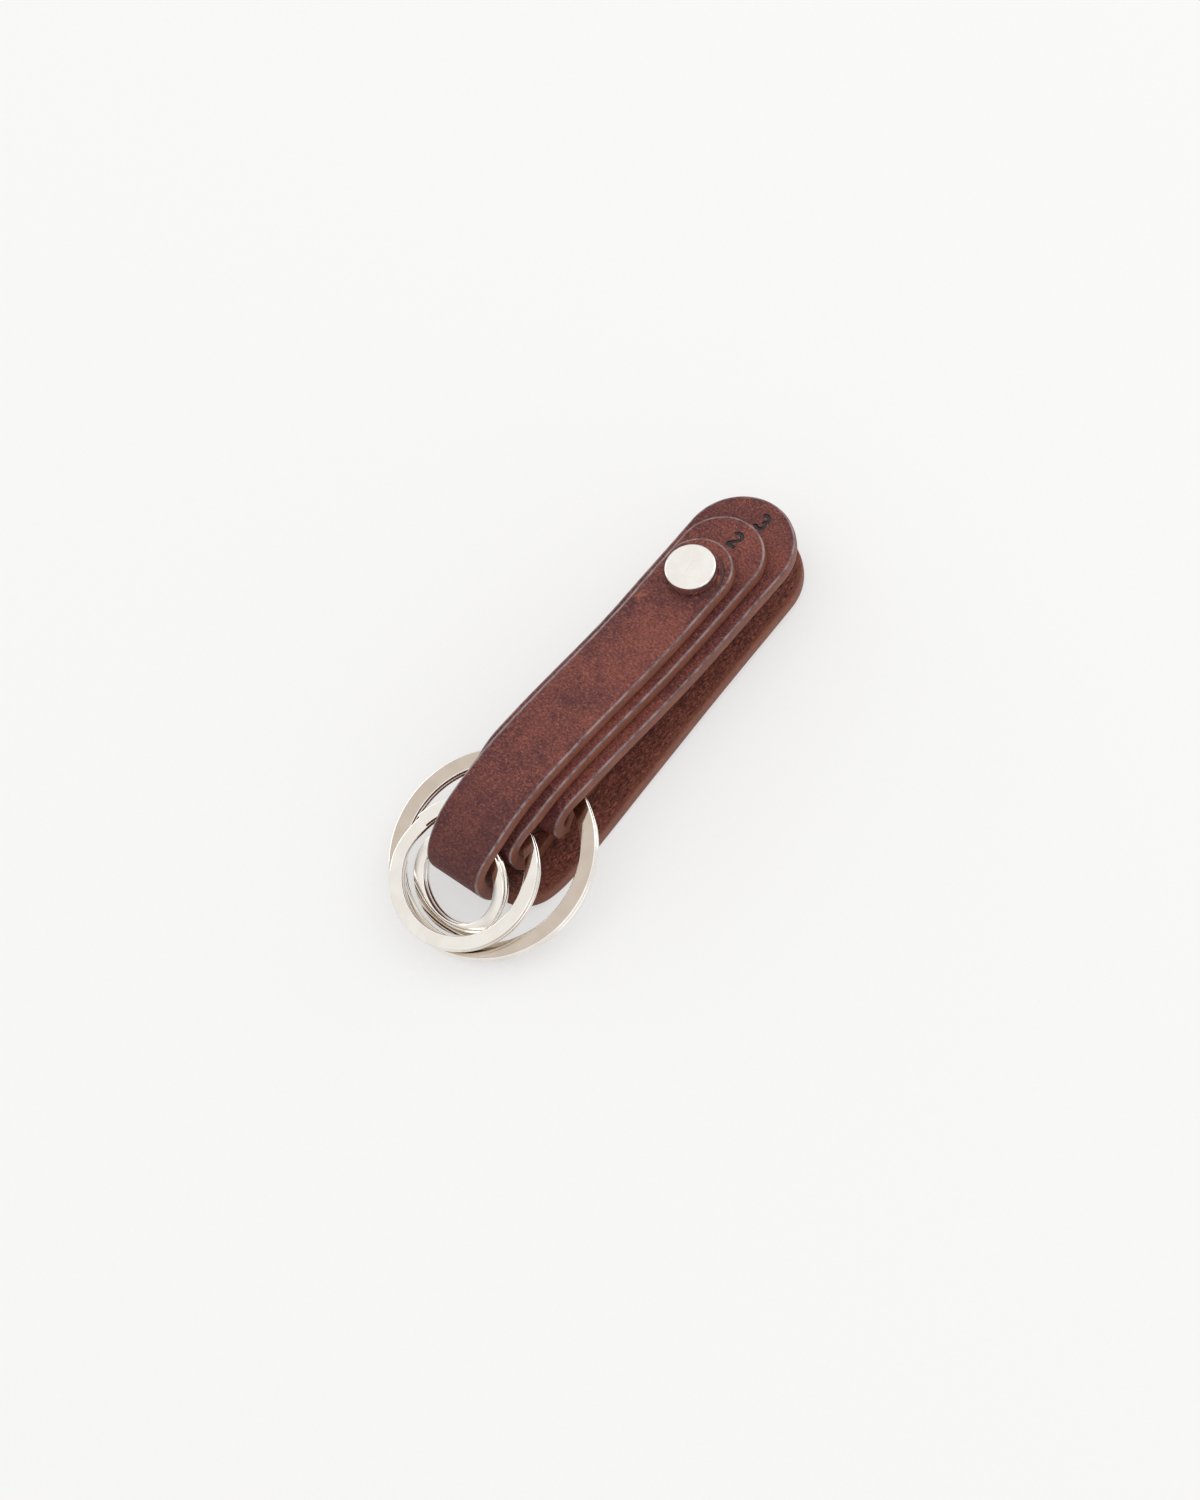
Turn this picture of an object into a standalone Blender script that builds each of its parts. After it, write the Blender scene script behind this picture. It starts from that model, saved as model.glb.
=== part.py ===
"""Strap key holder: a leather base with three graded straps, a screw stud and three split rings.

Frame: metres, +Z up.  The origin is on the table under the stud.  The straps run along X, with
their round ends at +X and the folds that carry the rings at -X.  +Y is the left edge seen from
the ring end.
"""

import math

import bmesh
import bpy
from mathutils import Vector

# Leather

LEATHER = 0.00235
LAYER_GAP = 0.0003
HALF_LEATHER = LEATHER / 2
LAYER_PITCH = LEATHER + LAYER_GAP
EDGE_ROUND = 0.0003
EDGE_STEPS = 2
EDGE_ANGLE = math.radians(45)
COLUMNS = 4

# Widths of the straps: 1 is the narrow top strap and 3 is the wide one

STRAP_1_WIDTH = 0.012
STRAP_2_WIDTH = 0.015
STRAP_3_WIDTH = 0.019
STRAP_WIDTH = {1: STRAP_1_WIDTH, 2: STRAP_2_WIDTH, 3: STRAP_3_WIDTH}

# How far each round end reaches past the stud

STRAP_1_TIP = 0.0070
STRAP_2_TIP = 0.0135
STRAP_3_TIP = 0.0195
TIP_REACH = {1: STRAP_1_TIP, 2: STRAP_2_TIP, 3: STRAP_3_TIP}

# Past their folds, straps 2 and 3 taper to narrow tails that run back under them to the stud

TAIL_WIDTH = 0.0110
TAIL_TAPER = 0.0060

# The base is a tongue that widens to a shoulder and then necks down to strap 1

BASE_WIDTH = 0.0189
BASE_TIP_REACH = 0.0192
BASE_SHOULDER_WIDTH = 0.0230
BASE_SHOULDER_X = -0.0450
NECK_FULLNESS = 3

# The straps narrow a little where a ring runs round them

WAIST_1_INSET = 0.00065
WAIST_2_INSET = 0.0010
WAIST_3_INSET = 0.0006
WAIST_INSET = {1: WAIST_1_INSET, 2: WAIST_2_INSET, 3: WAIST_3_INSET}
WAIST_REACH = 0.0090

# Stud

FLANGE_RADIUS = 0.0050
FLANGE_HEIGHT = 0.0008
BARREL_RADIUS = 0.0024
STUD_CLEARANCE = 0.0003
SHANK_RADIUS = 0.0014
SHANK_CLEARANCE = 0.0004
SHANK_GRIP = 0.00115
BORE_DEPTH = 0.0060
CAP_RADIUS = 0.00415
CAP_HEIGHT = 0.0022
METAL_ROUND = 0.00025
STUD_STEPS = 48
SEAM_WELD = 0.00001

# Layer heights at the stud, counted from the base as layer 0 up to strap 1 as layer 5

STUD_FLAT = 0.0080
BASE_MIDDLE = FLANGE_HEIGHT + LAYER_GAP + HALF_LEATHER
LOWER_LAYER = {2: 1, 3: 2}
UPPER_LAYER = {3: 3, 2: 4, 1: 5}

# Furthest point of each fold: fold 3 lies nearest the stud and the others follow outside it

FOLD_3_REACH = -0.0456
FOLD_2_STEP = 0.0080
FOLD_1_STEP = 0.0070
FOLD_2_REACH = FOLD_3_REACH - FOLD_2_STEP
FOLD_1_REACH = FOLD_2_REACH - FOLD_1_STEP
FOLD_REACH = {1: FOLD_1_REACH, 2: FOLD_2_REACH, 3: FOLD_3_REACH}

# Height of the furthest point, and how long the curl below it and above it runs in X

STACK_TOP_AT_FOLDS = 0.0194
OUTER_MEET_HEIGHT = 0.0105
INNER_MEET_HEIGHT = 0.0094
FOLD_MEET_HEIGHT = {1: OUTER_MEET_HEIGHT, 2: OUTER_MEET_HEIGHT, 3: INNER_MEET_HEIGHT}
LOWER_CURL_1 = 0.0086
LOWER_CURL_2 = 0.0056
LOWER_CURL_3 = 0.0036
LOWER_CURL = {1: LOWER_CURL_1, 2: LOWER_CURL_2, 3: LOWER_CURL_3}
UPPER_CURL_1 = 0.0176
UPPER_CURL_2 = 0.0116
UPPER_CURL_3 = 0.0046
UPPER_CURL = {1: UPPER_CURL_1, 2: UPPER_CURL_2, 3: UPPER_CURL_3}

# The flap of strap 1 turns where the fold reaches furthest

FLAP_END = 0.0010
BASE_END = 0.00165

# Split rings: outside radius and the width of the flat wire

RING_1_RADIUS = 0.0088
RING_2_RADIUS = 0.0127
RING_3_RADIUS = 0.0175
RING_RADIUS = {1: RING_1_RADIUS, 2: RING_2_RADIUS, 3: RING_3_RADIUS}
RING_1_FACE = 0.0021
RING_2_FACE = 0.0024
RING_3_FACE = 0.0028
RING_FACE = {1: RING_1_FACE, 2: RING_2_FACE, 3: RING_3_FACE}
WIRE_HEIGHT = 0.00070
WIRE_ROUND = 0.00015
TURN_GAP = 0.00042
TURN_POINTS = 48
WIRE_WELD = 0.000005

# Where the wire passes through each fold: how far in from the leather, how far above the furthest
# point and how far sideways; then the ring's tilt and where its wire is cut

OUTER_RING_SEAT = 0.003925
INNER_RING_SEAT = 0.006175
RING_SEAT = {1: OUTER_RING_SEAT, 2: OUTER_RING_SEAT, 3: INNER_RING_SEAT}
RING_1_RISE = 0.0025
RING_2_RISE = 0.0005
RING_3_RISE = 0.0006
RING_RISE = {1: RING_1_RISE, 2: RING_2_RISE, 3: RING_3_RISE}
RING_1_SHIFT = -0.0004
RING_3_SHIFT = -0.0008
RING_SIDE_SHIFT = {1: RING_1_SHIFT, 2: 0.0, 3: RING_3_SHIFT}
RING_TILT_DEGREES = {1: 46.0, 2: 18.0, 3: 15.0}
CUT_AT_DEGREES = {1: 55.0, 2: 92.0, 3: 30.0}
CUT_HALF_DEGREES = 18.0

# Point spacing

DENSE_STEP = 0.0002
LEG_STEP = 0.0030
FOLD_STEP = 0.0011
END_ROWS = 7
END_SHARE = 0.10

METAL_COLOUR = (0.82, 0.78, 0.72, 1.0)
METAL_ROUGHNESS = 0.22
LEATHER_COLOUR = (0.17, 0.055, 0.04, 1.0)
LEATHER_ROUGHNESS = 0.55


def clear_scene():
    for item in list(bpy.data.objects):
        bpy.data.objects.remove(item)


def make_collection(name):
    collection = bpy.data.collections.new(name)
    bpy.context.scene.collection.children.link(collection)
    return collection


def make_material(name, colour, metallic, roughness):
    material = bpy.data.materials.new(name)
    material.use_nodes = True
    shader = material.node_tree.nodes["Principled BSDF"]
    shader.inputs["Base Color"].default_value = colour
    shader.inputs["Metallic"].default_value = metallic
    shader.inputs["Roughness"].default_value = roughness
    return material


def leather_material(name):
    return make_material(name + "_leather", LEATHER_COLOUR, 0.0, LEATHER_ROUGHNESS)


def metal_material(name):
    return make_material(name + "_metal", METAL_COLOUR, 1.0, METAL_ROUGHNESS)


def ease(share):
    share = min(max(share, 0.0), 1.0)
    return share * share * (3 - 2 * share)


# Paths of the leather's middle surface, as lists of (x, z)


def leg_points(start, end):
    count = max(2, round(abs(end[0] - start[0]) / DENSE_STEP))
    points = []
    for index in range(count + 1):
        share = index / count
        x = start[0] + (end[0] - start[0]) * share
        points.append((x, start[1] + (end[1] - start[1]) * ease(share)))
    return points


def quarter_points(centre_x, centre_z, half_x, half_z, start, end):
    count = max(2, round((half_x + half_z) / DENSE_STEP))
    points = []
    for index in range(count + 1):
        angle = start + (end - start) * index / count
        points.append((centre_x + half_x * math.cos(angle), centre_z + half_z * math.sin(angle)))
    return points


def fold_curve(strap):
    """Points from the end of the lower leg, round the fold, to the start of the upper leg."""
    lower_layer = LOWER_LAYER.get(strap, 0)
    low = HALF_LEATHER + lower_layer * LAYER_PITCH
    high = STACK_TOP_AT_FOLDS - HALF_LEATHER - (strap - 1) * LAYER_PITCH
    reach = FOLD_REACH[strap]
    meet = FOLD_MEET_HEIGHT[strap]
    lower_x = reach + LOWER_CURL[strap]
    upper_x = reach + UPPER_CURL[strap]
    lower = quarter_points(lower_x, meet, lower_x - reach, meet - low, 1.5 * math.pi, math.pi)
    upper = quarter_points(upper_x, meet, upper_x - reach, high - meet, math.pi, 0.5 * math.pi)
    return lower, upper


def lower_leg(strap, tip_x):
    height = BASE_MIDDLE + LOWER_LAYER.get(strap, 0) * LAYER_PITCH
    fold_start = fold_curve(strap)[0][0]
    flat = leg_points((tip_x, height), (-STUD_FLAT, height))
    return flat + leg_points((-STUD_FLAT, height), fold_start)[1:]


def upper_leg(strap):
    height = BASE_MIDDLE + UPPER_LAYER[strap] * LAYER_PITCH
    fold_end = fold_curve(strap)[1][-1]
    down = leg_points(fold_end, (-STUD_FLAT, height))
    return down[1:] + leg_points((-STUD_FLAT, height), (TIP_REACH[strap], height))[1:]


class Path:
    """A curve in the XZ plane that is read by its length."""

    def __init__(self, points):
        self.points = points
        self.lengths = [0.0]
        for first, second in zip(points, points[1:]):
            self.lengths.append(self.lengths[-1] + math.dist(first, second))
        self.length = self.lengths[-1]

    def at(self, length):
        length = min(max(length, 0.0), self.length)
        low = 0
        high = len(self.lengths) - 1
        while high - low > 1:
            middle = (low + high) // 2
            if self.lengths[middle] <= length:
                low = middle
            else:
                high = middle
        span = self.lengths[high] - self.lengths[low]
        share = (length - self.lengths[low]) / span if span else 0.0
        first = self.points[low]
        second = self.points[high]
        return (first[0] + (second[0] - first[0]) * share, first[1] + (second[1] - first[1]) * share)

    def length_at_point(self, point):
        distances = [math.dist(point, other) for other in self.points]
        return self.lengths[distances.index(min(distances))]


def round_end_rows(radius):
    """Distances from a round end's tip, closer together near the tip."""
    first = math.acos(1 - 0.5 * END_SHARE ** 2)
    turn = math.pi / 2 - first
    angles = [first + turn * index / END_ROWS for index in range(END_ROWS + 1)]
    return [radius * (1 - math.cos(angle)) for angle in angles]


def round_end_width(radius, distance):
    if distance >= radius:
        return radius
    return math.sqrt(radius ** 2 - (radius - distance) ** 2)


def rows_between(start, end, step):
    count = max(1, math.ceil((end - start) / step))
    return [start + (end - start) * index / count for index in range(count + 1)]


def joined_rows(*groups):
    rows = []
    for group in groups:
        for row in group:
            if not rows or row > rows[-1] + DENSE_STEP:
                rows.append(row)
    return rows


def build_ribbon(name, path, rows, half_width, collection, material):
    """A grid laid along the path, thickened to leather with rounded edges."""
    ribbon = bmesh.new()
    last_row = len(rows) - 1
    bmesh.ops.create_grid(ribbon, x_segments=last_row, y_segments=COLUMNS, size=1.0)
    for corner in ribbon.verts:
        row = rows[round((corner.co.x + 1) / 2 * last_row)]
        x, z = path.at(row)
        corner.co = Vector((x, corner.co.y * half_width(row), z))
    mesh = bpy.data.meshes.new(name)
    ribbon.to_mesh(mesh)
    ribbon.free()
    mesh.materials.append(material)
    piece = bpy.data.objects.new(name, mesh)
    collection.objects.link(piece)
    thicken = piece.modifiers.new("leather_thickness", "SOLIDIFY")
    thicken.thickness = LEATHER
    thicken.offset = 0.0
    thicken.use_even_offset = True
    edges = piece.modifiers.new("edge_round", "BEVEL")
    edges.width = EDGE_ROUND
    edges.segments = EDGE_STEPS
    edges.limit_method = "ANGLE"
    edges.angle_limit = EDGE_ANGLE
    return piece


def cut_hole(piece, radius, bottom, top, cutters):
    """A round hole on the stud's axis."""
    shape = bmesh.new()
    bmesh.ops.create_cone(shape, cap_ends=True, segments=STUD_STEPS, radius1=radius, radius2=radius,
                          depth=top - bottom)
    mesh = bpy.data.meshes.new(piece.name + "_hole")
    shape.to_mesh(mesh)
    shape.free()
    cutter = bpy.data.objects.new(piece.name + "_hole", mesh)
    cutter.location = (0, 0, (top + bottom) / 2)
    cutter.hide_render = True
    cutter.display_type = "WIRE"
    cutters.objects.link(cutter)
    hole = piece.modifiers.new("stud_hole", "BOOLEAN")
    hole.operation = "DIFFERENCE"
    hole.solver = "EXACT"
    hole.object = cutter


# Straps


def waist(strap, distance):
    """How much a strap has narrowed at this distance from its fold's furthest point."""
    return WAIST_INSET[strap] * (1 - ease(abs(distance) / WAIST_REACH))


def build_looped_strap(strap, collection, cutters):
    """Straps 2 and 3: one band folded back on itself and held twice by the stud."""
    name = f"strap_{strap}"
    half = STRAP_WIDTH[strap] / 2
    tail_half = TAIL_WIDTH / 2
    lower, upper = fold_curve(strap)
    path = Path(lower_leg(strap, tail_half) + lower[1:] + upper[1:] + upper_leg(strap))
    fold_start = path.length_at_point(lower[0])
    furthest = path.length_at_point(upper[0])
    fold_end = path.length_at_point(upper[-1])
    taper_start = fold_start - TAIL_TAPER

    def half_width(row):
        growth = ease((row - taper_start) / (furthest - taper_start))
        width = tail_half + (half - tail_half) * growth - waist(strap, row - furthest)
        if row < tail_half:
            return round_end_width(tail_half, row)
        return min(width, round_end_width(half, path.length - row))

    tail_rows = round_end_rows(tail_half)
    tip_rows = [path.length - row for row in reversed(round_end_rows(half))]
    rows = joined_rows(
        tail_rows,
        rows_between(tail_rows[-1], taper_start, LEG_STEP),
        rows_between(taper_start, fold_end, FOLD_STEP),
        rows_between(fold_end, tip_rows[0], LEG_STEP),
        tip_rows,
    )
    piece = build_ribbon(name, path, rows, half_width, collection, leather_material(name))
    cut_hole(piece, BARREL_RADIUS + STUD_CLEARANCE, 0.0, STACK_TOP_AT_FOLDS, cutters)
    return piece


def build_base(collection, cutters):
    """The bottom layer: a wide tongue that necks down and starts up into strap 1's fold."""
    lower = fold_curve(1)[0]
    path = Path(lower_leg(1, BASE_TIP_REACH) + lower[1:])
    end_radius = BASE_WIDTH / 2
    neck_half = STRAP_WIDTH[1] / 2 - WAIST_INSET[1]
    shoulder_half = BASE_SHOULDER_WIDTH / 2
    shoulder = BASE_TIP_REACH - BASE_SHOULDER_X
    stop = path.length - BASE_END
    neck = stop - STRAP_WIDTH[1] / 2

    def half_width(row):
        flare = (shoulder_half - end_radius) * min(row, shoulder) / shoulder
        width = end_radius + flare
        drop = min(max((row - shoulder) / (neck - shoulder), 0.0), 1.0)
        width = neck_half + (width - neck_half) * math.sqrt(1 - drop ** NECK_FULLNESS)
        return width - end_radius + round_end_width(end_radius, row)

    fold_start = path.length_at_point(lower[0])
    end_rows = round_end_rows(end_radius)
    rows = joined_rows(
        end_rows,
        rows_between(end_rows[-1], shoulder, LEG_STEP),
        rows_between(shoulder, fold_start, FOLD_STEP),
        rows_between(fold_start, neck, FOLD_STEP),
        rows_between(neck, stop, FOLD_STEP),
    )
    piece = build_ribbon("leather_base", path, rows, half_width, collection,
                         leather_material("leather_base"))
    cut_hole(piece, BARREL_RADIUS + STUD_CLEARANCE, 0.0, BASE_MIDDLE + LAYER_PITCH, cutters)
    return piece


def build_flap(collection, cutters):
    """Strap 1: the rest of the base's fold and the narrow strap over the top."""
    lower, upper = fold_curve(1)
    path = Path(lower + upper[1:] + upper_leg(1))
    pivot = path.length_at_point(upper[0])
    fold_end = path.length_at_point(upper[-1])
    half = STRAP_WIDTH[1] / 2
    start = pivot - FLAP_END

    def half_width(row):
        width = half - waist(1, row - pivot)
        return min(width, round_end_width(half, path.length - row))

    tip_rows = [path.length - row for row in reversed(round_end_rows(half))]
    rows = joined_rows(
        rows_between(start, fold_end, FOLD_STEP),
        rows_between(fold_end, tip_rows[0], LEG_STEP),
        tip_rows,
    )
    piece = build_ribbon("strap_1", path, rows, half_width, collection, leather_material("strap_1"))
    low = BASE_MIDDLE + UPPER_LAYER[1] * LAYER_PITCH - LEATHER
    cut_hole(piece, SHANK_RADIUS + SHANK_CLEARANCE, low, low + 2 * LEATHER, cutters)
    move_origin(piece, Vector((FOLD_REACH[1], 0, FOLD_MEET_HEIGHT[1])))
    cutters.objects["strap_1_hole"].parent = piece
    cutters.objects["strap_1_hole"].location -= piece.location
    return piece


def move_origin(piece, place):
    """Put a piece's origin on its joint's axis without moving the piece."""
    for corner in piece.data.vertices:
        corner.co -= place
    piece.location = place


# Stud


def build_turned(name, profile, collection):
    """A solid of revolution about the stud's axis, from a profile listed top to bottom."""
    outline = bmesh.new()
    corners = [outline.verts.new((radius, 0, height)) for radius, height in profile]
    for first, second in zip(corners, corners[1:]):
        outline.edges.new((first, second))
    mesh = bpy.data.meshes.new(name)
    outline.to_mesh(mesh)
    outline.free()
    mesh.materials.append(metal_material(name))
    piece = bpy.data.objects.new(name, mesh)
    collection.objects.link(piece)
    turn = piece.modifiers.new("turn", "SCREW")
    turn.axis = "Z"
    turn.steps = STUD_STEPS
    turn.render_steps = STUD_STEPS
    turn.use_merge_vertices = True
    turn.merge_threshold = SEAM_WELD
    turn.use_normal_calculate = True
    return piece


def build_post(collection):
    """The back half of the stud: a flat flange under the base and a bored barrel."""
    top = BASE_MIDDLE + UPPER_LAYER[2] * LAYER_PITCH + HALF_LEATHER
    bore = SHANK_RADIUS + SHANK_CLEARANCE
    profile = [
        (0, top - BORE_DEPTH),
        (bore, top - BORE_DEPTH),
        (bore, top),
        (BARREL_RADIUS - METAL_ROUND, top),
        (BARREL_RADIUS, top - METAL_ROUND),
        (BARREL_RADIUS, FLANGE_HEIGHT),
        (FLANGE_RADIUS - METAL_ROUND, FLANGE_HEIGHT),
        (FLANGE_RADIUS, FLANGE_HEIGHT - METAL_ROUND),
        (FLANGE_RADIUS, METAL_ROUND),
        (FLANGE_RADIUS - METAL_ROUND, 0),
        (0, 0),
    ]
    return build_turned("stud_post", profile, collection)


def build_cap(collection):
    """The front half of the stud: a flat polished disc on a short shank."""
    under = BASE_MIDDLE + UPPER_LAYER[1] * LAYER_PITCH + HALF_LEATHER + LAYER_GAP
    top = under + CAP_HEIGHT
    barrel_top = BASE_MIDDLE + UPPER_LAYER[2] * LAYER_PITCH + HALF_LEATHER
    shank_end = barrel_top - SHANK_GRIP
    profile = [
        (0, top),
        (CAP_RADIUS - METAL_ROUND, top),
        (CAP_RADIUS, top - METAL_ROUND),
        (CAP_RADIUS, under + METAL_ROUND),
        (CAP_RADIUS - METAL_ROUND, under),
        (SHANK_RADIUS, under),
        (SHANK_RADIUS, shank_end + METAL_ROUND),
        (SHANK_RADIUS - METAL_ROUND, shank_end),
        (0, shank_end),
    ]
    return build_turned("stud_cap", profile, collection)


# Split rings


def wire_section(face):
    """The flat wire's section: a rectangle with its corners taken off."""
    half_x = face / 2
    half_y = WIRE_HEIGHT / 2
    corner = WIRE_ROUND
    points = [
        (half_x - corner, half_y),
        (-half_x + corner, half_y),
        (-half_x, half_y - corner),
        (-half_x, -half_y + corner),
        (-half_x + corner, -half_y),
        (half_x - corner, -half_y),
        (half_x, -half_y + corner),
        (half_x, half_y - corner),
    ]
    return [(x, y, 0) for x, y in points]


def ring_wire(radius, cut_degrees):
    """Two flat turns joined by one short ramp, from the lower cut end to the upper one."""
    rise = WIRE_HEIGHT + TURN_GAP
    cut = math.radians(cut_degrees)
    half_cut = math.radians(CUT_HALF_DEGREES)
    first = half_cut
    last = 4 * math.pi - half_cut
    count = round((last - first) / (2 * math.pi) * TURN_POINTS)
    points = []
    for index in range(count + 1):
        angle = first + (last - first) * index / count
        ramp = ease((angle - (2 * math.pi - half_cut)) / (2 * half_cut))
        height = rise * (ramp - 0.5)
        points.append((radius * math.cos(cut + angle), radius * math.sin(cut + angle), height))
    return points


def poly_curve(name, points, dimensions, cyclic):
    curve = bpy.data.curves.new(name, "CURVE")
    curve.dimensions = dimensions
    spline = curve.splines.new("POLY")
    spline.points.add(len(points) - 1)
    for point, place in zip(spline.points, points):
        point.co = (*place, 1)
    spline.use_cyclic_u = cyclic
    return curve


def report_turn_gap(name, points, ramp_reach):
    """Print the least clear height between the lower turn and the upper one."""
    least = None
    for first in range(len(points)):
        for second in range(first + TURN_POINTS // 2, len(points)):
            sideways = math.dist(points[first][:2], points[second][:2])
            if sideways < ramp_reach:
                gap = abs(points[second][2] - points[first][2]) - WIRE_HEIGHT
                least = gap if least is None else min(least, gap)
    print(f"{name}: least gap between turns {least * 1000:.3f} mm")


def build_ring(number, collection, cutters):
    name = f"ring_{number}"
    face = RING_FACE[number]
    middle_radius = RING_RADIUS[number] - face / 2
    points = ring_wire(middle_radius, CUT_AT_DEGREES[number])
    report_turn_gap(name, points, middle_radius * 2 * math.pi / TURN_POINTS / 2)
    curve = poly_curve(name + "_wire", points, "3D", False)
    curve.twist_mode = "Z_UP"
    curve.use_fill_caps = True
    curve.bevel_mode = "OBJECT"
    section = bpy.data.objects.new(name + "_section",
                                   poly_curve(name + "_section", wire_section(face), "2D", True))
    section.hide_render = True
    section.display_type = "WIRE"
    cutters.objects.link(section)
    curve.bevel_object = section
    wire = bpy.data.objects.new(name + "_wire", curve)
    bpy.context.scene.collection.objects.link(wire)
    evaluated = wire.evaluated_get(bpy.context.evaluated_depsgraph_get())
    mesh = bpy.data.meshes.new_from_object(evaluated)
    bpy.data.objects.remove(wire)
    tidy = bmesh.new()
    tidy.from_mesh(mesh)
    bmesh.ops.remove_doubles(tidy, verts=tidy.verts, dist=WIRE_WELD)
    bmesh.ops.recalc_face_normals(tidy, faces=tidy.faces)
    tidy.to_mesh(mesh)
    tidy.free()
    mesh.name = name
    mesh.materials.clear()
    mesh.materials.append(metal_material(name))
    piece = bpy.data.objects.new(name, mesh)
    collection.objects.link(piece)
    tilt = math.radians(RING_TILT_DEGREES[number])
    seat_x = FOLD_REACH[number] + HALF_LEATHER + RING_SEAT[number]
    seat_z = FOLD_MEET_HEIGHT[number] + RING_RISE[number]
    piece.location = (
        seat_x - middle_radius * math.cos(tilt),
        RING_SIDE_SHIFT[number],
        seat_z - middle_radius * math.sin(tilt),
    )
    piece.rotation_euler = (0, -tilt, 0)
    print(f"{name}: centre {tuple(round(v * 1000, 3) for v in piece.location)} mm")
    return piece


def build():
    clear_scene()
    holder = make_collection("key_holder")
    cutters = make_collection("cutters")
    build_base(holder, cutters)
    build_flap(holder, cutters)
    for strap in (2, 3):
        build_looped_strap(strap, holder, cutters)
    build_post(holder)
    build_cap(holder)
    for number in (1, 2, 3):
        build_ring(number, holder, cutters)


build()
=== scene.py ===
"""Looks of the strap key holder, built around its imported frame.

Lengths are metres, in the frame's own axes: the straps run along X with their round ends at +X,
the rings are at -X and +Z is up from the table.  +Y is the left edge seen from the ring end.
"""

import math

import bmesh
import bpy
from mathutils import Matrix, Vector, noise


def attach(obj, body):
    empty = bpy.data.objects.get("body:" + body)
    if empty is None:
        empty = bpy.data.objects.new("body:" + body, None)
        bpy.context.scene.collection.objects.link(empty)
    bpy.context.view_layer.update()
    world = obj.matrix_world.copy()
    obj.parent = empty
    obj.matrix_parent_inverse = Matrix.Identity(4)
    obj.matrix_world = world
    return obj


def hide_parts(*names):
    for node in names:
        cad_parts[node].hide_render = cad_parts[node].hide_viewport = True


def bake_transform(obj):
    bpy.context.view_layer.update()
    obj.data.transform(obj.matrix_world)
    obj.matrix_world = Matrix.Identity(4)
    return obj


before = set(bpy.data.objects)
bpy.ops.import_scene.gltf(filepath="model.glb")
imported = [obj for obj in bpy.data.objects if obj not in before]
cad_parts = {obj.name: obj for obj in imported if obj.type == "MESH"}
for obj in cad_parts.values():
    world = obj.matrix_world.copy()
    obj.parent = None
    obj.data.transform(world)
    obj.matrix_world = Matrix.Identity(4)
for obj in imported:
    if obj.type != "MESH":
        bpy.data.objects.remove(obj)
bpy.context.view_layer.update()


MM = 0.001

# Leather, as in the frame

LEATHER = 2.35 * MM
HALF_LEATHER = LEATHER / 2
LAYER_GAP = 0.3 * MM
LAYER_PITCH = LEATHER + LAYER_GAP
STRAP_WIDTH = {1: 12.0 * MM, 2: 15.0 * MM, 3: 19.0 * MM}
TIP_REACH = {1: 7.0 * MM, 2: 13.5 * MM, 3: 19.5 * MM}
TAIL_WIDTH = 11.0 * MM
TAIL_TAPER = 6.0 * MM
BASE_WIDTH = 18.9 * MM
BASE_TIP_REACH = 19.2 * MM
BASE_SHOULDER_WIDTH = 23.0 * MM
BASE_SHOULDER_X = -45.0 * MM
BASE_NECK_BACK = 7.65 * MM
WAIST_INSET = {1: 0.65 * MM, 2: 1.0 * MM, 3: 0.6 * MM}
WAIST_REACH = 9.0 * MM

# Layer heights at the stud and the shapes of the folds, as in the frame

FLANGE_HEIGHT = 0.8 * MM
STUD_FLAT = 8.0 * MM
BASE_MIDDLE = FLANGE_HEIGHT + LAYER_GAP + HALF_LEATHER
LOWER_LAYER = {2: 1, 3: 2}
UPPER_LAYER = {3: 3, 2: 4, 1: 5}
STACK_TOP_AT_FOLDS = 19.4 * MM
FOLD_REACH = {1: -60.6 * MM, 2: -53.6 * MM, 3: -45.6 * MM}
FOLD_MEET_HEIGHT = {1: 10.5 * MM, 2: 10.5 * MM, 3: 9.4 * MM}
LOWER_LEG_END = {1: -52.0 * MM, 2: -48.0 * MM, 3: -42.0 * MM}
UPPER_LEG_START = {1: -43.0 * MM, 2: -42.0 * MM, 3: -41.0 * MM}

# Detail of the leather meshes; the clearances keep them inside the surface of the solids

PATH_STEP = 0.2 * MM
TANGENT_REACH = 0.35 * MM
ROW_STEP = 0.55 * MM
END_ROWS = 22
COLUMNS = 22
SKIN_CLEARANCE = 0.03 * MM
EDGE_CLEARANCE = 0.06 * MM
HALF_SKIN = HALF_LEATHER - SKIN_CLEARANCE
GRAIN_BEVEL = 0.38 * MM
FLESH_BEVEL = 0.34 * MM
BEVEL_STEPS = 6
WALL_BULGE = 0.05 * MM
RIM_STRIP = 0.55 * MM
WAVE_LENGTH = 14.0 * MM
WAVE_HEIGHT = 0.04 * MM
EDGE_WAVE_LENGTH = 9.0 * MM
EDGE_WAVE_DEPTH = 0.05 * MM
SHARP_ANGLE = math.radians(38)
BODY_SEED = 1.7
STRAP_SEED_STEP = 3.1

# Cutters: how far they reach past the leather, and the roundness of those along a line

CUT_OVERRUN = 1.0 * MM
SHANK_HOLE_OVERRUN = 0.25 * MM
LINE_ROUND_STEPS = 4
WELD = 0.002 * MM

# The crease that the cap's rim has pressed into the top strap, beside the cap

CREASE_RADIUS = 4.95 * MM
CREASE_STROKE = 0.24 * MM
CREASE_LIFT = 0.04 * MM
CREASE_FADE = 0.24 * MM
CREASE_START = math.radians(205)
CREASE_END = math.radians(355)
CREASE_STEPS = 48

# Stud

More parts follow.
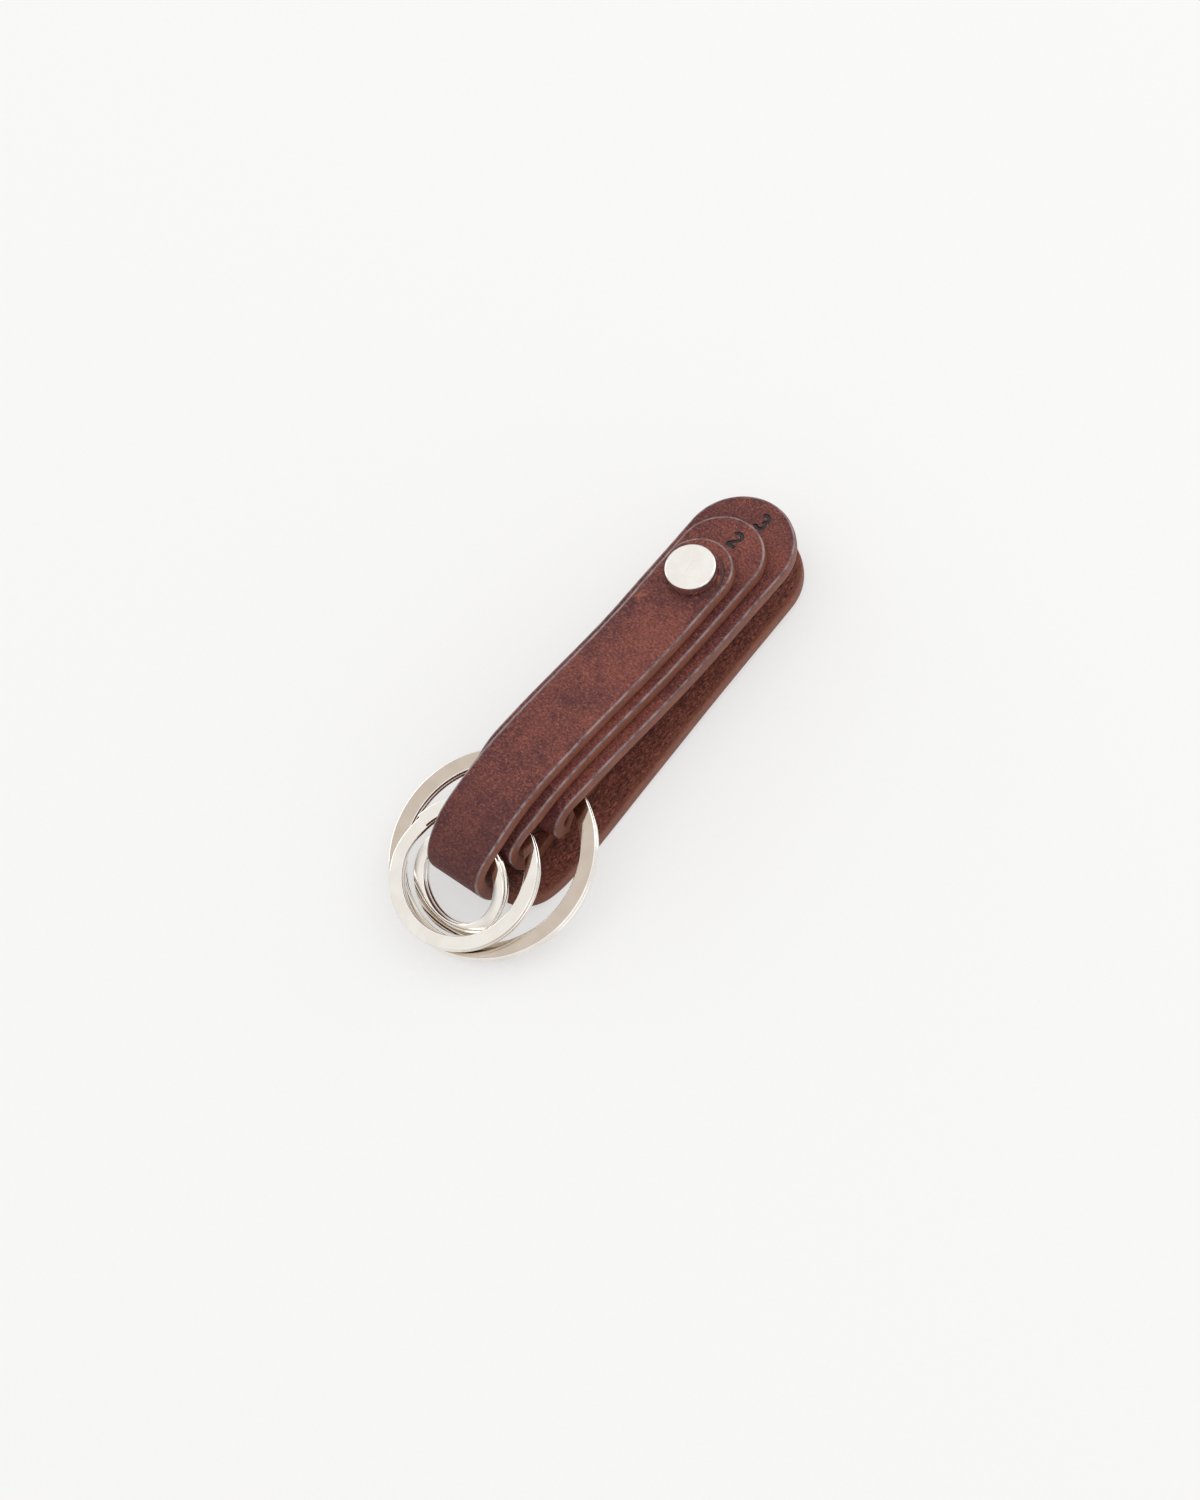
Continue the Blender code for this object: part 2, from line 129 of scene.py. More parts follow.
POST_HOLE_RADIUS = 2.7 * MM
SHANK_HOLE_RADIUS = 1.8 * MM
SHANK_RADIUS = 1.4 * MM
SHANK_GRIP = 1.15 * MM
BARREL_RADIUS = 2.4 * MM
BORE_DEPTH = 6.0 * MM
FLANGE_RADIUS = 5.0 * MM
CAP_RADIUS = 4.15 * MM
CAP_HEIGHT = 2.2 * MM
CAP_ROUND = 0.32 * MM
CAP_CROWN = 0.05 * MM
CROWN_SHARES = (0.25, 0.5, 0.75)
FLANGE_ROUND = 0.3 * MM
TURNED_STEPS = 128

# Numerals pressed into the leather: the middle of each, its height and its stroke

NUMERAL_PLACE = {1: (0.0, 0.0), 2: (9.75 * MM, -0.35 * MM), 3: (15.75 * MM, -0.55 * MM)}
NUMERAL_HEIGHT = 2.85 * MM
NUMERAL_STROKE = 0.33 * MM
NUMERAL_LIFT = 0.03 * MM
CAP_STROKE = 0.10 * MM
CAP_STROKE_LIFT = 0.04 * MM

# Split rings, as in the frame, but with their two turns closed up to a hairline

RING_RADIUS = {1: 8.8 * MM, 2: 12.7 * MM, 3: 17.5 * MM}
RING_FACE = {1: 2.1 * MM, 2: 2.4 * MM, 3: 2.8 * MM}
RING_FAR_X = {1: -55.5 * MM, 2: -48.5 * MM, 3: -38.25 * MM}
RING_FAR_Z = {1: 13.0 * MM, 2: 11.0 * MM, 3: 10.0 * MM}
RING_SIDE_SHIFT = {1: -0.4 * MM, 2: 0.0, 3: -0.8 * MM}
RING_TILT = {1: math.radians(46), 2: math.radians(18), 3: math.radians(15)}
RING_BODY = {1: "small_ring", 2: "middle_ring", 3: "large_ring"}
RING_HEIGHT = 1.82 * MM
TURN_GAP = 0.09 * MM
RING_CLEARANCE = 0.05 * MM
WIRE_ROUND = 0.22 * MM
WIRE_ROUND_STEPS = 4
TURN_POINTS = 144

# The middle of each ring's ramp from one turn to the other, and half of its length

CUT_AT = {1: math.radians(55), 2: math.radians(92), 3: math.radians(30)}
CUT_HALF = math.radians(18)

# Camera: the photograph's angle, and where the origin lies in its frame

ELEVATION = math.radians(58.968)
PLAN_ANGLE = math.radians(33.002)
ROLL = math.radians(19.668)
ORIGIN_PIXEL = (709.587, 626.319)
PIXELS_PER_METRE = 6230.0
FRAME_PIXELS = (1200, 1500)
FOCAL_LENGTH = 200.0
SENSOR = 36.0

# Floor

FLOOR_SIZE = 3.0
FLOOR_CELLS = 4
FLOOR_DROP = 0.02 * MM

# Lights: each one's place in metres to the view's right, up and back, its size and its power

LIGHT_AIM = (-20 * MM, 0, 0)
LIGHTS = {
    "key_light": ((0.62, 0.70, 0.35), 0.8, 2.6),
    "side_light": ((-0.85, 0.50, -0.10), 0.6, 1.3),
    "fill_light": ((0.8, -0.5, 0.9), 0.9, 1.5),
}

# The sky's brightness: (height, brightness) stops from the horizon upwards

SKY_STOPS = ((0.02, 0.04), (0.10, 0.22), (0.24, 0.98), (0.62, 0.96), (1.0, 0.98))

# Tones, as display values of 0 to 255; where a material has two, it runs from one to the other

GRAIN_TONES = ((89, 43, 43), (122, 63, 53))
GRAIN_MOTTLE = (134, 75, 60)
GRAIN_GROOVE = (54, 24, 26)
GRAIN_DARK_SPECK = (52, 24, 28)
GRAIN_PALE_SPECK = (164, 100, 84)
GRAIN_SCRATCH = (164, 97, 76)
# Painted shade towards the folds, with some darkening of the bent leather
GRAIN_FOLD_SHADE_AND_BEND = (58, 28, 30)
WALL_TONES = ((102, 56, 45), (138, 85, 66))
WALL_SHADE = (66, 34, 30)
# Painted highlight: the pale grey of the waxed rim on the bevels
RIM_HIGHLIGHT_TONES = ((84, 62, 64), (134, 112, 113))
FLESH_TONES = ((98, 48, 38), (124, 66, 52))
FLESH_PALE_FIBRE = (172, 106, 88)
FLESH_DARK_FIBRE = (42, 19, 19)
INK_TONES = ((20, 18, 20), (62, 56, 57))
# Painted shade in the crease's groove, with some darkening of the pressed leather
CREASE_SHADE_TONES = ((58, 29, 30), (92, 50, 47))
NICKEL_TONES = ((240, 235, 228), (246, 242, 236))
CREAM_TONES = ((236, 230, 221), (241, 236, 228))
TAUPE_TONES = ((202, 188, 173), (208, 195, 181))
PAPER_TONES = ((160, 160, 159), (166, 166, 165))
# Painted light: the paper glows to lift the shadows on it, though it is no lamp
PAPER_PAINTED_GLOW = (1.0, 0.995, 0.985, 1)
PAPER_PAINTED_GLOW_STRENGTH = 0.53

# Roughness of the metals, from the smoothest to the dullest places

NICKEL_ROUGHNESS = (0.03, 0.07)
CREAM_ROUGHNESS = (0.05, 0.09)
TAUPE_ROUGHNESS = (0.06, 0.12)


def ease(share):
    """A share from 0 to 1 that starts and ends gently."""
    share = min(max(share, 0.0), 1.0)
    return share * share * (3 - 2 * share)


# Paths of the leather's middle surface, as lists of (x, z)


def leg_points(start, end):
    """A leg that leaves and arrives level."""
    count = max(2, round(abs(end[0] - start[0]) / PATH_STEP))
    shares = [index / count for index in range(count + 1)]
    return [(start[0] + (end[0] - start[0]) * share, start[1] + (end[1] - start[1]) * ease(share))
            for share in shares]


def quarter_points(centre, half, start, end):
    """A quarter ellipse with these half axes, from one angle to another."""
    count = max(2, round((half[0] + half[1]) / PATH_STEP))
    angles = [start + (end - start) * index / count for index in range(count + 1)]
    return [(centre[0] + half[0] * math.cos(angle), centre[1] + half[1] * math.sin(angle))
            for angle in angles]


def fold_curve(strap):
    """The fold's two quarter ellipses, which meet where it reaches furthest."""
    low = HALF_LEATHER + LOWER_LAYER.get(strap, 0) * LAYER_PITCH
    high = STACK_TOP_AT_FOLDS - HALF_LEATHER - (strap - 1) * LAYER_PITCH
    reach = FOLD_REACH[strap]
    meet = FOLD_MEET_HEIGHT[strap]
    lower_x = LOWER_LEG_END[strap]
    upper_x = UPPER_LEG_START[strap]
    lower = quarter_points((lower_x, meet), (lower_x - reach, meet - low), 1.5 * math.pi, math.pi)
    upper = quarter_points((upper_x, meet), (upper_x - reach, high - meet), math.pi, 0.5 * math.pi)
    return lower, upper


class Path:
    """A leather band's middle line in the XZ plane, read by its length."""

    def __init__(self, strap, tail_reach):
        lower, upper = fold_curve(strap)
        low = BASE_MIDDLE + LOWER_LAYER.get(strap, 0) * LAYER_PITCH
        high = BASE_MIDDLE + UPPER_LAYER[strap] * LAYER_PITCH
        self.points = leg_points((tail_reach, low), (-STUD_FLAT, low))
        self.points += leg_points((-STUD_FLAT, low), lower[0])[1:] + lower[1:]
        self.points += upper[1:] + leg_points(upper[-1], (-STUD_FLAT, high))[1:]
        self.points += leg_points((-STUD_FLAT, high), (TIP_REACH[strap], high))[1:]
        self.lengths = [0.0]
        for first, second in zip(self.points, self.points[1:]):
            self.lengths.append(self.lengths[-1] + math.dist(first, second))
        self.length = self.lengths[-1]
        self.fold_start = self.length_at(lower[0])
        self.furthest = self.length_at(upper[0])

    def length_at(self, point):
        """The length at which the line passes nearest to a point."""
        distances = [math.dist(point, other) for other in self.points]
        return self.lengths[distances.index(min(distances))]

    def at(self, length):
        """The point of the line at this length."""
        length = min(max(length, 0.0), self.length)
        low = 0
        high = len(self.lengths) - 1
        while high - low > 1:
            middle = (low + high) // 2
            if self.lengths[middle] <= length:
                low = middle
            else:
                high = middle
        share = (length - self.lengths[low]) / (self.lengths[high] - self.lengths[low])
        first = Vector(self.points[low])
        return first.lerp(Vector(self.points[high]), share)

    def place(self, length, side, height):
        """A point at this length and side, at a height towards the grain side."""
        middle = self.at(length)
        along = (self.at(length + TANGENT_REACH) - self.at(length - TANGENT_REACH)).normalized()
        return Vector((middle.x - along.y * height, side, middle.y + along.x * height))


def round_width(radius, distance):
    """The half width of a round end at this distance from its tip."""
    if distance >= radius:
        return radius
    return math.sqrt(max(radius ** 2 - (radius - distance) ** 2, 0.0))


def waist(strap, distance):
    """How far each side is drawn in, at this distance from the furthest point of the fold."""
    return WAIST_INSET[strap] * (1 - ease(abs(distance) / WAIST_REACH))


def looped_width(strap, path):
    """Half widths of strap 2 or 3 along its path, and the radii of its two ends."""
    half = STRAP_WIDTH[strap] / 2
    tail_half = TAIL_WIDTH / 2
    taper_start = path.fold_start - TAIL_TAPER

    def width(row):
        """The half width at this length."""
        growth = ease((row - taper_start) / (path.furthest - taper_start))
        sides = tail_half + (half - tail_half) * growth - waist(strap, row - path.furthest)
        if row < tail_half:
            return round_width(tail_half, row)
        return min(sides, round_width(half, path.length - row))

    return width, tail_half, half


def body_width(path):
    """Half widths of the base and strap 1, which are one piece of leather."""
    end_radius = BASE_WIDTH / 2
    half = STRAP_WIDTH[1] / 2
    neck_half = half - WAIST_INSET[1]
    shoulder = BASE_TIP_REACH - BASE_SHOULDER_X
    neck = path.furthest - BASE_NECK_BACK

    def width(row):
        """The half width at this length."""
        if row > neck:
            return min(half - waist(1, max(row - path.furthest, 0.0)),
                       round_width(half, path.length - row))
        flare = (BASE_SHOULDER_WIDTH / 2 - end_radius) * min(row / shoulder, 1.0)
        drop = min(max((row - shoulder) / (neck - shoulder), 0.0), 1.0)
        sides = neck_half + (end_radius + flare - neck_half) * math.sqrt(1 - drop ** 3)
        return sides - end_radius + round_width(end_radius, row)

    return width, end_radius, half


def outline_rows(path, tail_radius, tip_radius):
    """Lengths of the rungs: evenly turned round both ends, evenly spaced between them."""
    angles = [math.pi / 2 * index / END_ROWS for index in range(END_ROWS + 1)]
    tail = [tail_radius * (1 - math.cos(angle)) for angle in angles]
    tip = [path.length - tip_radius * (1 - math.cos(angle)) for angle in reversed(angles)]
    count = math.ceil((tip[0] - tail[-1]) / ROW_STEP)
    middle = [tail[-1] + (tip[0] - tail[-1]) * index / count for index in range(1, count)]
    return tail + middle + tip


def edge_profile():
    """Insets and heights from the grain face, round the edge, to the flesh face."""
    wall = EDGE_CLEARANCE + WALL_BULGE
    quarter = [math.pi / 2 * index / BEVEL_STEPS for index in range(BEVEL_STEPS + 1)]
    grain = [(wall + GRAIN_BEVEL * (1 - math.sin(turn)),
              HALF_SKIN - GRAIN_BEVEL * (1 - math.cos(turn))) for turn in quarter]
    flesh = [(wall + FLESH_BEVEL * (1 - math.sin(turn)),
              -HALF_SKIN + FLESH_BEVEL * (1 - math.cos(turn))) for turn in reversed(quarter)]
    grain_rim = (wall + GRAIN_BEVEL + RIM_STRIP, HALF_SKIN)
    flesh_rim = (wall + FLESH_BEVEL + RIM_STRIP, -HALF_SKIN)
    return [grain_rim] + grain + [(EDGE_CLEARANCE, 0.0)] + flesh + [flesh_rim]


def make_object(name, shape, materials):
    """An object in the scene from a bmesh, which is used up."""
    data = bpy.data.meshes.new(name)
    shape.to_mesh(data)
    shape.free()
    for material in materials:
        data.materials.append(material)
    piece = bpy.data.objects.new(name, data)
    bpy.context.scene.collection.objects.link(piece)
    return piece


# The leather's materials by their number in each mesh

# The rim's material carries a painted highlight along the bevels
GRAIN, WALL, FLESH, RIM = range(4)


def edge_material(level):
    """Grain, then the waxed rim with its painted highlight on most of the bevel, then the wall."""
    if level == 0:
        return GRAIN
    return RIM if level <= 2 * BEVEL_STEPS // 3 else WALL


def add_edge(mesh, columns, flip):
    """Faces of the rounded edge along one side."""
    for first, second in zip(columns, columns[1:]):
        for level in range(len(first) - 1):
            corners = [first[level], second[level], second[level + 1], first[level + 1]]
            face = mesh.faces.new(corners[::-1] if flip else corners)
            face.material_index = edge_material(level)


def add_skin(mesh, rungs, material, flip):
    """Faces of the grain or flesh side; a rung at a round end is one vertex, repeated."""
    for first, second in zip(rungs, rungs[1:]):
        for column in range(COLUMNS):
            corners = [first[column], second[column], second[column + 1], first[column + 1]]
            unique = list(dict.fromkeys(corners))
            face = mesh.faces.new(unique[::-1] if flip else unique)
            face.material_index = material


def build_leather(name, path, width_and_ends, materials, seed):
    """A band of leather as a ladder of rungs with a rounded edge swept round its outline."""
    width, tail_radius, tip_radius = width_and_ends
    rows = outline_rows(path, tail_radius, tip_radius)
    last = len(rows) - 1
    profile = edge_profile()
    mesh = bmesh.new()

    def edge_point(index):
        """The end of a rung on the left, with the edge's small waves."""
        row = rows[index]
        wobble = noise.noise(Vector((row / EDGE_WAVE_LENGTH, seed, 0.0))) * EDGE_WAVE_DEPTH
        return Vector((row, width(row) + wobble * min(width(row) / tail_radius, 1.0)))

    edge = [edge_point(index) for index in range(last + 1)]
    edge[0].y = 0.0
    edge[last].y = 0.0

    def outward(index):
        """The direction away from the leather at the end of a rung."""
        before = edge[index - 1] if index else Vector((edge[1].x, -edge[1].y))
        after = edge[index + 1] if index < last else Vector((edge[last - 1].x, -edge[last - 1].y))
        step = after - before
        return Vector((-step.y, step.x)).normalized()

    def corner(row, side, height):
        """A vertex at a height from the middle surface, with the leather's small waves."""
        wave = noise.noise(Vector((row / WAVE_LENGTH, side / WAVE_LENGTH, seed))) * WAVE_HEIGHT
        return mesh.verts.new(path.place(row, side, height + wave))

    def edge_column(index, side):
        """The vertices round the edge at the end of a rung."""
        away = outward(index)
        points = [edge[index] - away * inset for inset, _ in profile]
        return [corner(point.x, point.y * side, height)
                for point, (_, height) in zip(points, profile)]

    left = [edge_column(index, 1) for index in range(last + 1)]
    right = [left[0]] + [edge_column(index, -1) for index in range(1, last)] + [left[last]]

    add_edge(mesh, left, False)
    add_edge(mesh, right, True)

    for level, height, material, flip in ((0, HALF_SKIN, GRAIN, False),
                                          (len(profile) - 1, -HALF_SKIN, FLESH, True)):
        rungs = []
        for index in range(last + 1):
            away = outward(index)
            inner = edge[index] - away * profile[level][0]
            if index in (0, last):
                rungs.append([left[index][level]] * (COLUMNS + 1))
                continue
            rung = [right[index][level]]
            for column in range(1, COLUMNS):
                side = inner.y * (2 * column / COLUMNS - 1)
                rung.append(corner(inner.x, side, height))
            rung.append(left[index][level])
            rungs.append(rung)
        add_skin(mesh, rungs, material, flip)

    bmesh.ops.recalc_face_normals(mesh, faces=mesh.faces)
    return make_object(name, mesh, materials)


def cut(piece, cutter):
    """Cut a shape out of a piece; the cut faces keep the cutter's material."""
    carve = piece.modifiers.new("carve", "BOOLEAN")
    carve.operation = "DIFFERENCE"
    carve.solver = "EXACT"
    carve.material_mode = "TRANSFER"
    carve.object = cutter
    evaluated = piece.evaluated_get(bpy.context.evaluated_depsgraph_get())
    data = bpy.data.meshes.new_from_object(evaluated)
    piece.modifiers.clear()
    piece.data = data
    bpy.data.objects.remove(cutter)


def smooth(piece):
    """Shade smoothly, apart from the sharp edges."""
    piece.data.shade_smooth()
    piece.data.set_sharp_from_angle(angle=SHARP_ANGLE)


def hole_cutter(radius, bottom, top, material):
    """A round rod on the stud's axis."""
    shape = bmesh.new()
    bmesh.ops.create_cone(shape, cap_ends=True, segments=TURNED_STEPS // 2, radius1=radius,
                          radius2=radius, depth=top - bottom)
    cutter = make_object("hole", shape, [material])
    cutter.location.z = (top + bottom) / 2
    return cutter


def arc(centre, radius, start, end, count):
    """Points on a circle, in shares of a numeral's height; angles in degrees."""
    turns = [math.radians(start + (end - start) * index / count) for index in range(count + 1)]
    return [(centre[0] + radius[0] * math.cos(turn), centre[1] + radius[1] * math.sin(turn))
            for turn in turns]


# Strokes of the numerals: points in shares of the height, right and up from the middle

STROKE_SHARES = {
    1: [[(-0.16, 0.28), (0.0, 0.42), (0.0, -0.42)]],
    2: [arc((0.0, 0.20), (0.27, 0.25), 165, -35, 14) + [(-0.02, -0.18), (-0.29, -0.44)],
        [(-0.29, -0.44), (0.30, -0.44)]],
    3: [arc((-0.01, 0.235), (0.25, 0.215), 150, -85, 14),
        arc((-0.01, -0.215), (0.29, 0.245), 85, -155, 16)],
}


def numeral_points(number, stroke, height):
    """A stroke's points at a height; a numeral's top points to the straps' round ends."""
    middle_x, middle_y = NUMERAL_PLACE[number]
    return [(middle_x + up * NUMERAL_HEIGHT, middle_y - right * NUMERAL_HEIGHT, height)
            for right, up in stroke]


def crease_points(surface):
    """Points of the crease, which fades out at both ends."""
    points = []
    for step in range(CREASE_STEPS + 1):
        share = step / CREASE_STEPS
        turn = CREASE_START + (CREASE_END - CREASE_START) * share
        fade = CREASE_FADE * (2 * share - 1) ** 4
        points.append((CREASE_RADIUS * math.cos(turn), CREASE_RADIUS * math.sin(turn),
                       surface + CREASE_LIFT + fade))
    return points


def line_cutter(points, radius, material):
    """A closed round rod along a line of points."""
    curve = bpy.data.curves.new("line", "CURVE")
    curve.dimensions = "3D"
    curve.bevel_depth = radius
    curve.bevel_resolution = LINE_ROUND_STEPS
    curve.use_fill_caps = True
    spline = curve.splines.new("POLY")
    spline.points.add(len(points) - 1)
    for point, place in zip(spline.points, points):
        point.co = (*place, 1)
    line = bpy.data.objects.new("line", curve)
    bpy.context.scene.collection.objects.link(line)
    evaluated = line.evaluated_get(bpy.context.evaluated_depsgraph_get())
    data = bpy.data.meshes.new_from_object(evaluated)
    bpy.data.objects.remove(line)
    shape = bmesh.new()
    shape.from_mesh(data)
    bmesh.ops.remove_doubles(shape, verts=shape.verts, dist=WELD)
    bmesh.ops.recalc_face_normals(shape, faces=shape.faces)
    return make_object("line", shape, [material])


# Metal pieces


def turned(name, profile, material):
    """A solid of revolution about the stud's axis, from a profile listed top to bottom."""
    shape = bmesh.new()
    rings = []
    for radius, height in profile:
        if radius == 0:
            rings.append([shape.verts.new((0, 0, height))] * TURNED_STEPS)
            continue
        angles = [2 * math.pi * step / TURNED_STEPS for step in range(TURNED_STEPS)]
        rings.append([shape.verts.new((radius * math.cos(angle), radius * math.sin(angle), height))
                      for angle in angles])
    for upper, lower in zip(rings, rings[1:]):
        for step in range(TURNED_STEPS):
            after = (step + 1) % TURNED_STEPS
            corners = [upper[step], lower[step], lower[after], upper[after]]
            shape.faces.new(list(dict.fromkeys(corners)))
    bmesh.ops.recalc_face_normals(shape, faces=shape.faces)
    piece = make_object(name, shape, [material])
    smooth(piece)
    return piece


def quarter_round(radius, height, size, start, end):
    """Points of a small rounding about a centre at this radius and height; angles in degrees."""
    angles = [math.radians(start + (end - start) * step / BEVEL_STEPS)
              for step in range(BEVEL_STEPS + 1)]
    return [(radius + size * math.cos(angle), height + size * math.sin(angle)) for angle in angles]


def build_cap(material):
    """The polished disc with its shank, and the number cut faintly into it."""
    under = BASE_MIDDLE + UPPER_LAYER[1] * LAYER_PITCH + HALF_LEATHER + LAYER_GAP
    top = under + CAP_HEIGHT
    shank_end = under - LAYER_GAP - LAYER_PITCH - SHANK_GRIP
    inner = CAP_RADIUS - CAP_ROUND
    crown = [(inner * share, top - CAP_CROWN * share ** 2) for share in CROWN_SHARES]
    rim = quarter_round(inner, top - CAP_CROWN - CAP_ROUND, CAP_ROUND, 90, 0)
    foot = quarter_round(inner, under + CAP_ROUND, CAP_ROUND, 0, -90)
    profile = [(0, top)] + crown + rim + foot
    profile += [(SHANK_RADIUS, under), (SHANK_RADIUS, shank_end), (0, shank_end)]
    cap = turned("cap_disc", profile, material)
    for stroke in STROKE_SHARES[1]:
        points = numeral_points(1, stroke, top + CAP_STROKE_LIFT)
        cut(cap, line_cutter(points, CAP_STROKE, material))
    smooth(cap)
    return cap


def build_post(material):
    """The flange under the base and the bored barrel that stands on it."""
    top = BASE_MIDDLE + UPPER_LAYER[2] * LAYER_PITCH + HALF_LEATHER
    inner = FLANGE_RADIUS - FLANGE_ROUND
    rim = quarter_round(inner, FLANGE_HEIGHT - FLANGE_ROUND, FLANGE_ROUND, 90, 0)
    foot = quarter_round(inner, FLANGE_ROUND, FLANGE_ROUND, 0, -90)
    profile = [(0, top - BORE_DEPTH), (SHANK_HOLE_RADIUS, top - BORE_DEPTH),
               (SHANK_HOLE_RADIUS, top), (BARREL_RADIUS, top), (BARREL_RADIUS, FLANGE_HEIGHT)]
    return turned("post_barrel", profile + rim + foot + [(0, 0)], material)


def wire_section(face, height):
    """The flat wire's section with rounded corners, as (outward, up) places."""
    points = []
    for index, (sign_x, sign_y) in enumerate(((1, 1), (-1, 1), (-1, -1), (1, -1))):
        for step in range(WIRE_ROUND_STEPS + 1):
            turn = math.pi / 2 * (index + step / WIRE_ROUND_STEPS)
            points.append((sign_x * (face / 2 - WIRE_ROUND) + WIRE_ROUND * math.cos(turn),
                           sign_y * (height / 2 - WIRE_ROUND) + WIRE_ROUND * math.sin(turn)))
    return points


def build_ring(number, face_material, rim_material):
    """Two flat turns of wire that cross over in one short ramp."""
    face = RING_FACE[number]
    wire_height = (RING_HEIGHT - TURN_GAP) / 2
    rise = wire_height + TURN_GAP
    middle_radius = RING_RADIUS[number] - face / 2
    section = wire_section(face - 2 * RING_CLEARANCE, wire_height)
    first = CUT_HALF
    last = 4 * math.pi - CUT_HALF
    count = round((last - first) / (2 * math.pi) * TURN_POINTS)
    shape = bmesh.new()
    loops = []
    for index in range(count + 1):
        angle = first + (last - first) * index / count
        ramp = ease((angle - (2 * math.pi - CUT_HALF)) / (2 * CUT_HALF))
        height = rise * (ramp - 0.5)
        turn = CUT_AT[number] + angle
        outward = Vector((math.cos(turn), math.sin(turn), 0))
        places = [outward * (middle_radius + away) + Vector((0, 0, height + up))
                  for away, up in section]
        loops.append([shape.verts.new(place) for place in places])
    size = len(section)
    top_side = WIRE_ROUND_STEPS
    bottom_side = 3 * WIRE_ROUND_STEPS + 2
    for before, after in zip(loops, loops[1:]):
        for side in range(size):
            onward = (side + 1) % size
            wall = shape.faces.new((before[side], before[onward], after[onward], after[side]))
            wall.material_index = 0 if side in (top_side, bottom_side) else 1
    shape.faces.new(loops[0])
    shape.faces.new(loops[-1][::-1])
    bmesh.ops.recalc_face_normals(shape, faces=shape.faces)
    tilt = RING_TILT[number]
    centre = Vector((RING_FAR_X[number] - middle_radius * math.cos(tilt), RING_SIDE_SHIFT[number],
                     RING_FAR_Z[number] - middle_radius * math.sin(tilt)))
    shape.transform(Matrix.Translation(centre) @ Matrix.Rotation(-tilt, 4, "Y"))
    piece = make_object(f"split_ring_{number}", shape, [face_material, rim_material])
    smooth(piece)
    return piece


# Materials


def colour(tone):
    """A linear colour from a tone, by the sRGB curve."""
    values = [part / 255 for part in tone]
    linear = [part / 12.92 if part <= 0.04045 else ((part + 0.055) / 1.055) ** 2.4
              for part in values]
    return (*linear, 1.0)


def set_stops(colour_ramp, stops):
    """Give a ramp these (position, shade of grey) stops."""
    elements = colour_ramp.elements
    while len(elements) < len(stops):
        elements.new(0.5)
    for element, (position, shade) in zip(elements, stops):
        element.position = position
        element.color = (shade, shade, shade, 1)


# The mix node's colour sockets by their number

MIX_FIRST, MIX_SECOND, MIX_RESULT = 6, 7, 2


class Shader:
    """A material's node tree, with short calls for the nodes used here."""

    def __init__(self, name):
        self.material = bpy.data.materials.new(name)
        self.material.use_nodes = True
        self.tree = self.material.node_tree
        self.surface = self.tree.nodes["Principled BSDF"]
        self.place = self.tree.nodes.new("ShaderNodeTexCoord").outputs["Object"]

    def node(self, kind, **settings):
        """A new node with these settings."""
        node = self.tree.nodes.new(kind)
        for key, value in settings.items():
            setattr(node, key, value)
        return node

    def feed(self, node, socket, value):
        """Link an output to a node's input, or set a constant there."""
        if isinstance(value, bpy.types.NodeSocket):
            self.tree.links.new(value, node.inputs[socket])
        else:
            node.inputs[socket].default_value = value

    def stretched(self, scale):
        """The object's coordinates, scaled along each axis."""
        mapping = self.node("ShaderNodeMapping")
        self.feed(mapping, "Vector", self.place)
        self.feed(mapping, "Scale", scale)
        return mapping.outputs["Vector"]

    def noise(self, size, detail=4.0, roughness=0.55, place=None, distortion=0.0):
        """Noise whose blotches are about this many metres across."""
        node = self.node("ShaderNodeTexNoise")
        self.feed(node, "Vector", place or self.place)
        self.feed(node, "Scale", 1 / size)
        self.feed(node, "Detail", detail)
        self.feed(node, "Roughness", roughness)
        self.feed(node, "Distortion", distortion)
        return node.outputs["Fac"]

    def cell_walls(self, size):
        """The distance to the nearest border between cells about this many metres across."""
        node = self.node("ShaderNodeTexVoronoi", feature="DISTANCE_TO_EDGE")
        self.feed(node, "Vector", self.place)
        self.feed(node, "Scale", 1 / size)
        return node.outputs["Distance"]

    def ramp(self, value, *stops):
        """A shade of grey that follows the value through (position, shade) stops."""
        node = self.node("ShaderNodeValToRGB")
        node.color_ramp.interpolation = "EASE"
        set_stops(node.color_ramp, stops)
        self.feed(node, "Fac", value)
        return node.outputs["Color"]

    def calculate(self, operation, first, second):
        """The result of a sum with two values."""
        node = self.node("ShaderNodeMath", operation=operation)
        self.feed(node, 0, first)
        self.feed(node, 1, second)
        return node.outputs[0]

    def mix(self, share, first, second):
        """The first colour, with this share of the second."""
        node = self.node("ShaderNodeMix", data_type="RGBA")
        self.feed(node, 0, share)
        self.feed(node, MIX_FIRST, first)
        self.feed(node, MIX_SECOND, second)
        return node.outputs[MIX_RESULT]

    def bump(self, *layers):
        """Layers of (height source, depth in metres), stacked one on the other."""
        normal = None
        for height, depth in layers:
            node = self.node("ShaderNodeBump")
            self.feed(node, "Height", height)
            self.feed(node, "Distance", depth)
            if normal:
                self.feed(node, "Normal", normal)
            normal = node.outputs["Normal"]
        self.feed(self.surface, "Normal", normal)

    def between(self, share, tones):
        """A colour that runs from the first of two tones to the second."""
        return self.mix(share, colour(tones[0]), colour(tones[1]))

    def set(self, **values):
        """Constants of the surface by their socket's name, with _ for each space."""
        for name, value in values.items():
            self.surface.inputs[name.replace("_", " ")].default_value = value


def fold_shade(shader):
    """How much darker the grain is towards the folds, by its place along X: painted shade where
    the folds turn from the light, together with the darkening of the bent leather.
    """
    place = shader.node("ShaderNodeSeparateXYZ")
    shader.feed(place, 0, shader.place)
    share = shader.calculate("DIVIDE", place.outputs["X"], FOLD_REACH[1])
    return shader.ramp(share, (0.72, 0.0), (0.98, 0.32))


